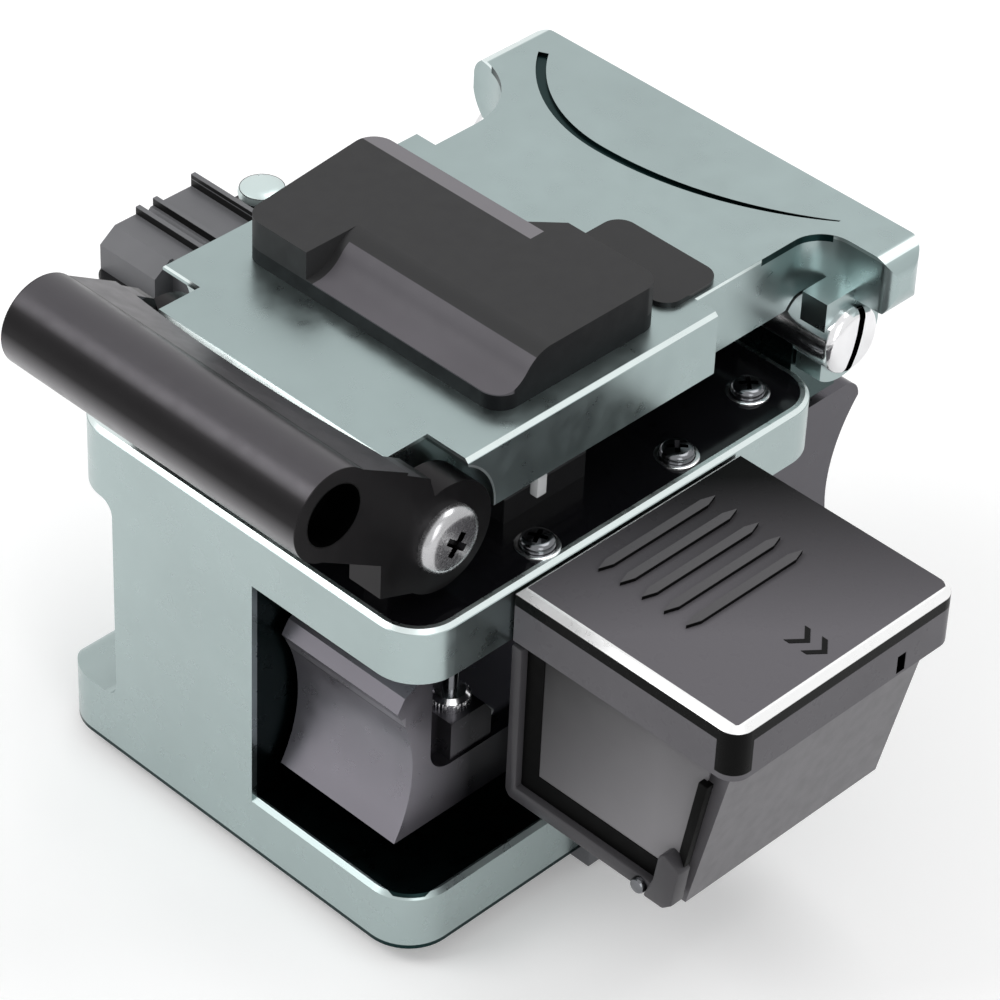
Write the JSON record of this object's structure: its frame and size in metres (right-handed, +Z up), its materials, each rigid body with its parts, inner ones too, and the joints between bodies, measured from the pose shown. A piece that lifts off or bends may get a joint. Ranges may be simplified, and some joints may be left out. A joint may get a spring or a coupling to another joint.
{
  "type": "fibre cleaver",
  "caption": "Bench-top optical fibre cleaver: C-shaped metal body, hinged lid with clamps, release lever, sliding blade carriage, fibre holder and side scrap bin with rocker lid.",
  "frame": {"origin": "centre of the C-shaped body's base, on the underside of its rubber pad", "axes": "+Z up; the operator and the release lever are on the -Y side and the lid's hinge on the +Y side; +X points to the scrap bin"},
  "size_m": [0.1004, 0.0881, 0.0707],
  "materials": {
    "body_satin": "satin pale green-grey anodised paint",
    "black_gloss": "semi-gloss black",
    "black_anodised": "satin black anodised",
    "cap_plastic": "fine-grained dark grey",
    "carriage_satin": "satin dark grey anodised",
    "bin_plastic": "moulded dark grey",
    "bin_clear": "smoked clear plastic",
    "screw_steel": "turned steel",
    "hinge_chrome": "bright plated",
    "rail_steel": "ground steel",
    "blade_steel": "ground carbide",
    "pad_rubber": "matte black",
    "foot_rubber": "matte black"
  },
  "bodies": {
    "base": {"body_frame": "body_satin", "deck_frame": "body_satin", "deck_plate": "black_gloss", "deck_screws": "screw_steel", "base_pad": "foot_rubber", "hinge_block": "black_anodised", "hinge_screws": "hinge_chrome", "lower_clamp_blocks": "black_anodised", "lower_clamp_pads": "pad_rubber", "lever_lug_left": "black_anodised", "lever_lug_right": "black_anodised", "lever_screws": "hinge_chrome", "linear_rail": "rail_steel", "rail_screws": "screw_steel", "holder_shelf": "black_anodised", "fibre_holder": "cap_plastic", "scrap_bin": "bin_plastic", "bin_window": "bin_clear", "bin_bracket": "rail_steel"},
    "lid": {"lid_plate": "body_satin", "lid_saddle": "body_satin", "lid_cap": "cap_plastic", "label_plate": "cap_plastic", "upper_clamp_pads": "pad_rubber", "upper_clamp_holder": "black_anodised"},
    "anvil": {"anvil": "pad_rubber"},
    "carriage": {"carriage": "carriage_satin", "bearing_block": "rail_steel", "blade_holder": "carriage_satin", "blade_axle": "screw_steel", "height_screw": "screw_steel"},
    "blade": {"blade_wheel": "blade_steel"},
    "lever": {"release_lever": "black_anodised"},
    "rocker": {"rocker_lid": "bin_plastic"}
  },
  "joints": [
    {"name": "lid_hinge", "type": "hinge", "parent": "base", "child": "lid", "pos_m": [0.0014, 0.0349, 0.0504], "axis": [-1, 0, 0], "range_deg": [0, 70]},
    {"name": "anvil_slide", "type": "slide", "parent": "lid", "child": "anvil", "axis": [0, 0, -1], "range_m": [0, 0.0006], "stiffness_N_per_m": 300, "springref_m": -0.0002},
    {"name": "carriage_slide", "type": "slide", "parent": "base", "child": "carriage", "axis": [0, -1, 0], "range_m": [0, 0.02]},
    {"name": "blade_turn", "type": "hinge", "parent": "carriage", "child": "blade", "pos_m": [0.013, 0.005, 0.0426], "axis": [1, 0, 0], "continuous": true},
    {"name": "lever_pivot", "type": "hinge", "parent": "base", "child": "lever", "pos_m": [0.00325, -0.0241, 0.0543], "axis": [1, 0, 0], "range_deg": [0, 20], "stiffness_Nm_per_rad": 0.02, "springref_deg": -11.46},
    {"name": "rocker_tilt", "type": "hinge", "parent": "base", "child": "rocker", "pos_m": [0.0427, -0.0006, 0.0408], "axis": [0, 1, 0], "range_deg": [0, 8], "stiffness_Nm_per_rad": 0.01, "springref_deg": -5.73}
  ]
}
